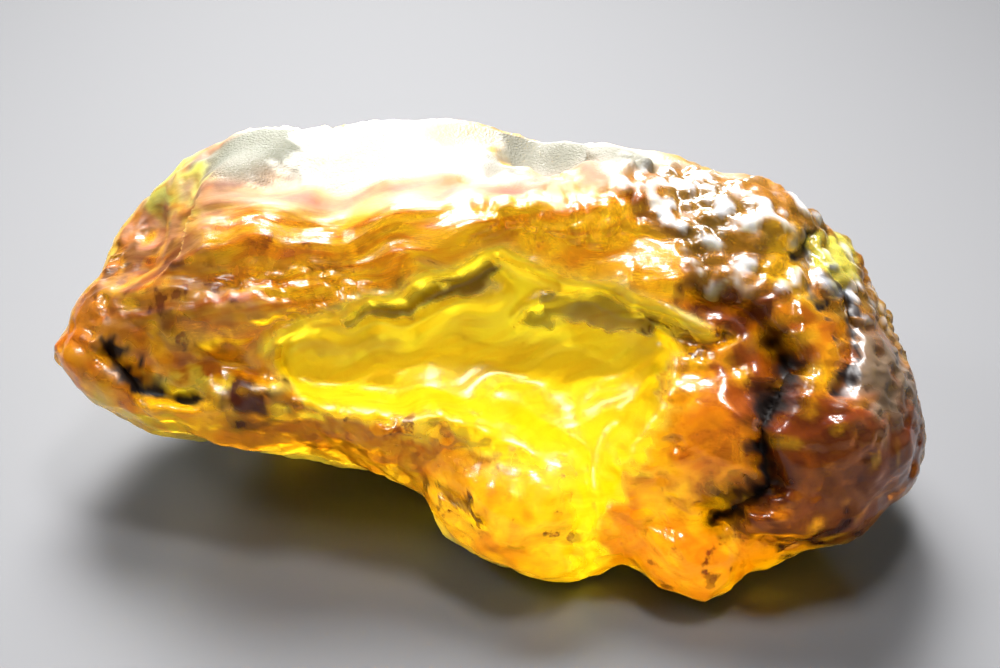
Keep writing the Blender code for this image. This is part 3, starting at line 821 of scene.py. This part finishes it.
# The fibres outside the band, and how much of a daub's radii is whole and how much edge
FIBRES_IN_BREAK = 0.25
FIBRES_WEATHERED = 0.4
DAUB_WHOLE = 1 / 2
DAUB_EDGE = 5 / 6


def laid(under, finish, share):
    """One finish laid over another by its share: under + (finish - under) share."""
    return under + (finish - under) * share[..., None]


def daub(centre, radii):
    """A ragged spot on the front: whole within half its radii, nothing past 1.3 of them."""
    off = np.hypot((s_daub - centre[0]) / radii[0], (t_daub - centre[1]) / radii[1])
    return 1 - rise(off, DAUB_WHOLE, DAUB_EDGE)


s_daub = s_bent + mixed(body, RAGGED_S)
t_daub = t_bent + mixed(body, RAGGED_T)
patchy = rise(PATCHY_SHARE + mixed(body, PATCHY))
mottled = rise(MOTTLED_SHARE + mixed(body, MOTTLED))
uneven = np.clip(1 + mixed(body, UNEVEN), 0, MOST_UNEVEN)
pale_glint_tops = rise(bubbles, GLINT_TOP_START, GLINT_TOP_REACH) * rise(GLINT_TOP_SHARE + mixed(body, GLINT_TOP_WAVES))
fibrous = band + FIBRES_IN_BREAK * window + FIBRES_WEATHERED * weathered * (1 - crust)
fibrous = np.clip(fibrous, 0, 1) * (1 - top)
flecked = FLECKS_BEHIND * (1 - turned) * (1 - top)
for centre, radii in FLECKS:
    flecked = np.maximum(flecked, daub(centre, radii) * turned)

# Finishes over the whole skin, from the lowest up: the finish and its share at each place
COATS = (
    (BROWN, 0.7 * patchy * weathered),
    (UNDERSIDE, rise(-outward[..., 2], UNDERSIDE_START, UNDERSIDE_REACH)),
    (laid(AMBER, DEEP_AMBER, patchy), turned),
    (AMBER, 0.8 * band),
    (HONEY, window),
    (laid(RED_BROWN, GREY_BROWN, patchy), crust),
    (laid(CRUSTY, BROWN, 0.6 * patchy), bubbly),
    # Pale tops on the bubbles: frosted resin, with painted glints in their bluish white
    (PALE_BUBBLE_GLINT, 0.95 * bubbly * pale_glint_tops),
    (FROST, top),
    (BURNT, 0.75 * flecked * turned * mottled),
)
finish = np.broadcast_to(SKIN, s.shape + SKIN.shape)
for coat, share in COATS:
    finish = laid(finish, coat, share)
for colour, outline, soft, share in PATCHES:
    finish = laid(finish, colour, share * patch(s_daub, t_daub, outline, soft) * turned)
for colour, centre, radii, share in SPOTS:
    finish = laid(finish, colour, np.clip(share * daub(centre, radii) * uneven, 0, 1) * turned)
for colour, path, width, share in STROKES:
    edge = np.exp(-((distance(s_daub, t_daub, path) / width) ** 4))
    finish = laid(finish, colour, np.clip(share * edge * uneven, 0, 1) * turned)
for colour, path, width, share in LINES:
    edge = np.exp(-((distance(s_bent, t_bent, path) / width) ** 2))
    finish = laid(finish, colour, share * edge * turned)

colours = mesh.color_attributes.new("tint", "FLOAT_COLOR", "POINT")
rgba = np.ones((len(mesh.vertices), 4))
rgba[:, :3] = per_point(finish[..., :3])
colours.data.foreach_set("color", rgba.ravel())
maps = {
    "solid": finish[..., 3],
    "dull": finish[..., 4],
    "fibrous": fibrous,
    "flecked": flecked,
    "frosted": top,
}
for name, values in maps.items():
    attribute = mesh.attributes.new(name, "FLOAT", "POINT")
    attribute.data.foreach_set("value", per_point(values).ravel())
fibre_places = (flow + (glide - flow) * window[..., None]) / MM
attribute = mesh.attributes.new("flow", "FLOAT_VECTOR", "POINT")
attribute.data.foreach_set("vector", per_point(fibre_places).ravel())

# The resin itself: its refraction, and the light that is left after a way through it,
# exp(-DENSITY (1 - LETS_THROUGH) way), so blue fades within 10 mm and red and green stay
REFRACTION = 1.54
LETS_THROUGH = (0.998, 0.99, 0.35, 1.0)
DENSITY = 300.0

# Noise in the skin: its scale and its detail, for fibres on their drawn-out millimetres
# and for the others on metres
FIBRE_NOISE = (2.2, 4.0)
FLECK_NOISE = (900.0, 6.0)
GRAIN_NOISE = (1800.0, 4.0)
FROST_NOISE = (9000.0, 3.0)

# Where on their noise fibres and flecks begin and are whole, how strong they get, how they
# tint the skin and how little flecks let through
FIBRE_SPAN = (0.46, 0.62)
FLECK_SPAN = (0.57, 0.64)
FIBRE_STRENGTH = 0.9
FLECK_STRENGTH = 0.9
FIBRE_TINT = (0.75, 0.33, 0.06, 1.0)
FLECK_TINT = (0.25, 0.10, 0.03, 1.0)
FLECK_SOLID = 0.7

# The roughness of the glossiest and the dullest skin, the height of the bumps in it, and
# the shares of grains and fibres in them
GLOSSIEST = 0.04
DULLEST = 0.85
BUMP = 0.1 * MM
GRAIN_BUMP = 0.3
FIBRE_BUMP = 0.7


def amber_material():
    """Clear amber that swallows blue light, under a tinted skin that is dull in places.

    Fibres follow the flow of the resin and flecks lie in it: both darken the tint, and
    fibres, fine grains and frost stand in the bump.
    """
    material = bpy.data.materials.new("amber")
    material.use_nodes = True
    nodes, links = material.node_tree.nodes, material.node_tree.links
    shader = nodes["Principled BSDF"]
    shader.inputs["IOR"].default_value = REFRACTION

    def painted(name, output="Fac"):
        """The values painted on the points under a name."""
        node = nodes.new("ShaderNodeAttribute")
        node.attribute_name = name
        return node.outputs[output]

    def between(value, low, high, start=0.0, stop=1.0):
        """Value start..stop brought to low..high, and kept between them."""
        node = nodes.new("ShaderNodeMapRange")
        node.inputs["From Min"].default_value = start
        node.inputs["From Max"].default_value = stop
        node.inputs["To Min"].default_value = low
        node.inputs["To Max"].default_value = high
        links.new(value, node.inputs["Value"])
        return node.outputs["Result"]

    def noise(place, scale, detail):
        """Smooth noise of a scale and detail, from 0 to 1."""
        node = nodes.new("ShaderNodeTexNoise")
        node.inputs["Scale"].default_value = scale
        node.inputs["Detail"].default_value = detail
        links.new(place, node.inputs["Vector"])
        return node.outputs["Fac"]

    def worked(way, first, *others):
        """Values put together in turn by one operation."""
        for other in others:
            node = nodes.new("ShaderNodeMath")
            node.operation = way
            links.new(first, node.inputs[0])
            if isinstance(other, float):
                node.inputs[1].default_value = other
            else:
                links.new(other, node.inputs[1])
            first = node.outputs[0]
        return first

    def darkened(colour, by, share):
        """A colour multiplied by another, by its share."""
        node = nodes.new("ShaderNodeMix")
        node.data_type = "RGBA"
        node.blend_type = "MULTIPLY"
        links.new(share, node.inputs[0])
        links.new(colour, node.inputs[6])
        node.inputs[7].default_value = by
        return node.outputs[2]

    place = nodes.new("ShaderNodeTexCoord").outputs["Object"]
    fibre = noise(painted("flow", "Vector"), *FIBRE_NOISE)
    fibre_share = between(fibre, 0.0, FIBRE_STRENGTH, *FIBRE_SPAN)
    fibre_share = worked("MULTIPLY", fibre_share, painted("fibrous"))
    fleck_share = between(noise(place, *FLECK_NOISE), 0.0, FLECK_STRENGTH, *FLECK_SPAN)
    fleck_share = worked("MULTIPLY", fleck_share, painted("flecked"))
    tint = darkened(painted("tint", "Color"), FIBRE_TINT, fibre_share)
    tint = darkened(tint, FLECK_TINT, fleck_share)
    links.new(tint, shader.inputs["Base Color"])
    links.new(between(painted("dull"), GLOSSIEST, DULLEST), shader.inputs["Roughness"])
    solid = worked("MAXIMUM", painted("solid"), worked("MULTIPLY", fleck_share, FLECK_SOLID))
    links.new(between(solid, 1.0, 0.0), shader.inputs["Transmission Weight"])

    grains = worked("MULTIPLY", noise(place, *GRAIN_NOISE), GRAIN_BUMP)
    ridges = worked("MULTIPLY", fibre, painted("fibrous"), FIBRE_BUMP)
    frost = worked("MULTIPLY", noise(place, *FROST_NOISE), painted("frosted"))
    bump = nodes.new("ShaderNodeBump")
    bump.inputs["Strength"].default_value = 1.0
    bump.inputs["Distance"].default_value = BUMP
    links.new(worked("ADD", grains, ridges, frost), bump.inputs["Height"])
    links.new(bump.outputs["Normal"], shader.inputs["Normal"])

    absorb = nodes.new("ShaderNodeVolumeAbsorption")
    absorb.inputs["Color"].default_value = LETS_THROUGH
    absorb.inputs["Density"].default_value = DENSITY
    links.new(absorb.outputs["Volume"], nodes["Material Output"].inputs["Volume"])
    return material


mesh.materials.append(amber_material())
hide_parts("amber_nodule")
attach(nodule, "root")

# The floor: plain, and grey, so that the strong lamps leave it pale and not white. It lies
# a hair below the nodule, so that the two surfaces never meet.
FLOOR_SIZE = 2.0
FLOOR_GAP = 0.03 * MM
FLOOR_GREY = (0.08, 0.08, 0.084, 1.0)
FLOOR_ROUGHNESS = 0.8

bpy.ops.mesh.primitive_plane_add(size=FLOOR_SIZE, location=(0, 0, -FLOOR_GAP))
floor = bpy.context.object
floor.name = "floor"
pale = bpy.data.materials.new("pale floor")
pale.use_nodes = True
pale_shader = pale.node_tree.nodes["Principled BSDF"]
pale_shader.inputs["Base Color"].default_value = FLOOR_GREY
pale_shader.inputs["Roughness"].default_value = FLOOR_ROUGHNESS
floor.data.materials.append(pale)

# The light: a soft box high behind, which shines through the amber, a small one low
# behind, which lights its rim, weak ones at the left and overhead, and a dim pale room.

# Where the lamps point, the light of the room, and how often light may pass a surface or
# bounce off one
AIM = Vector((0.0, 0.0, 8.0 * MM))
ROOM_TINT = (0.9, 0.92, 1.0, 1.0)
ROOM_STRENGTH = 0.12
THROUGH_BOUNCES = 24
GLOSS_BOUNCES = 8

# Each lamp: its name, place and side in metres, its power in watts and its cone in degrees
LAMPS = (
    ("high light", (-0.02, 0.115, 0.148), 0.10, 0.29, 60),
    ("low light", (-0.02, 0.18, 0.016), 0.03, 0.05, 60),
    ("left light", (-0.134, 0.0, 0.134), 0.05, 0.01, 40),
    ("top light", (0.02, 0.01, 0.19), 0.04, 0.02, 40),
)


def soft_box(name, place, side, power, cone):
    """A square lamp at a place, turned to the nodule, with its light in a cone."""
    lamp = bpy.data.lights.new(name, "AREA")
    lamp.size = side
    lamp.energy = power
    lamp.spread = np.radians(cone)
    box = bpy.data.objects.new(name, lamp)
    box.location = place
    box.rotation_euler = (AIM - box.location).to_track_quat("-Z", "Y").to_euler()
    bpy.context.scene.collection.objects.link(box)


for lamp_values in LAMPS:
    soft_box(*lamp_values)

room = bpy.data.worlds.new("room")
room.use_nodes = True
backdrop = room.node_tree.nodes["Background"]
backdrop.inputs["Color"].default_value = ROOM_TINT
backdrop.inputs["Strength"].default_value = ROOM_STRENGTH
scene = bpy.context.scene
scene.world = room
scene.view_settings.view_transform = "Standard"
scene.cycles.max_bounces = THROUGH_BOUNCES
scene.cycles.transmission_bounces = THROUGH_BOUNCES
scene.cycles.glossy_bounces = GLOSS_BOUNCES

# The camera: it stands 121 mm from the middle of the nodule and looks at the front from 38
# degrees above, close up through a long lens.
LENS_MM = 100.0
FILM_WIDTH_MM = 36.0
NEAREST_SEEN = 5.0 * MM

lens = bpy.data.cameras.new("camera")
lens.lens = LENS_MM
lens.sensor_width = FILM_WIDTH_MM
lens.clip_start = NEAREST_SEEN
camera = bpy.data.objects.new("camera", lens)
camera.location = Vector(eye - MIDDLE)
camera.rotation_euler = Vector(AWAY).to_track_quat("-Z", "Y").to_euler()
scene.collection.objects.link(camera)
bpy.context.scene.camera = camera
